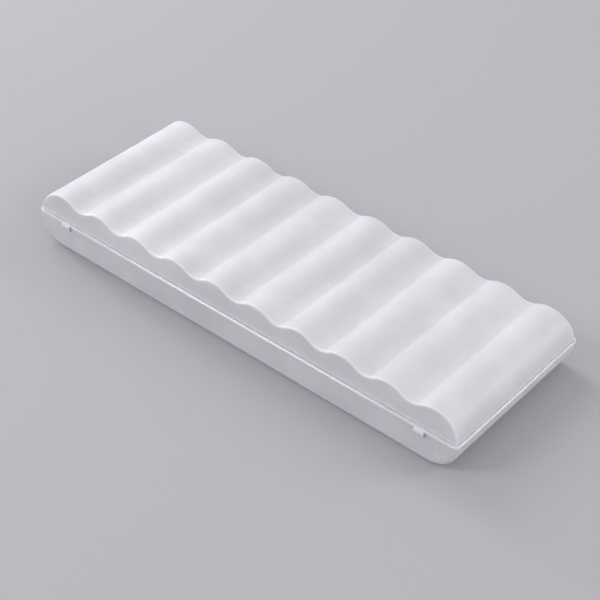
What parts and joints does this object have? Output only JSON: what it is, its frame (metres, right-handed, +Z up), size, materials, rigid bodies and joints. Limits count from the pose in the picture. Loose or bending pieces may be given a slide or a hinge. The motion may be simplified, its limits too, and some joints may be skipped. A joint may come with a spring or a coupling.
{
  "type": "battery storage case",
  "caption": "Flat hinged storage case for a row of small round cells, with a waved lid that has a rounded crest over each cell, a plain tray with rounded ends and a snap tongue at the back.",
  "frame": {"origin": "middle of the flat underside of the tray", "axes": "+X along the row of cells, +Y along the cells from the hinge side to the latch side, +Z up"},
  "size_m": [0.1488, 0.0579, 0.017],
  "materials": {
    "milky_polypropylene": "natural polypropylene, milky and translucent, with a fine satin face and glossier edges"
  },
  "bodies": {
    "tray": {"tray": "milky_polypropylene"},
    "lid": {"lid": "milky_polypropylene"}
  },
  "joints": [
    {"name": "lid_hinge", "type": "hinge", "parent": "tray", "child": "lid", "pos_m": [0, -0.0275, 0.00865], "axis": [1, 0, 0], "range_deg": [0, 115]}
  ]
}
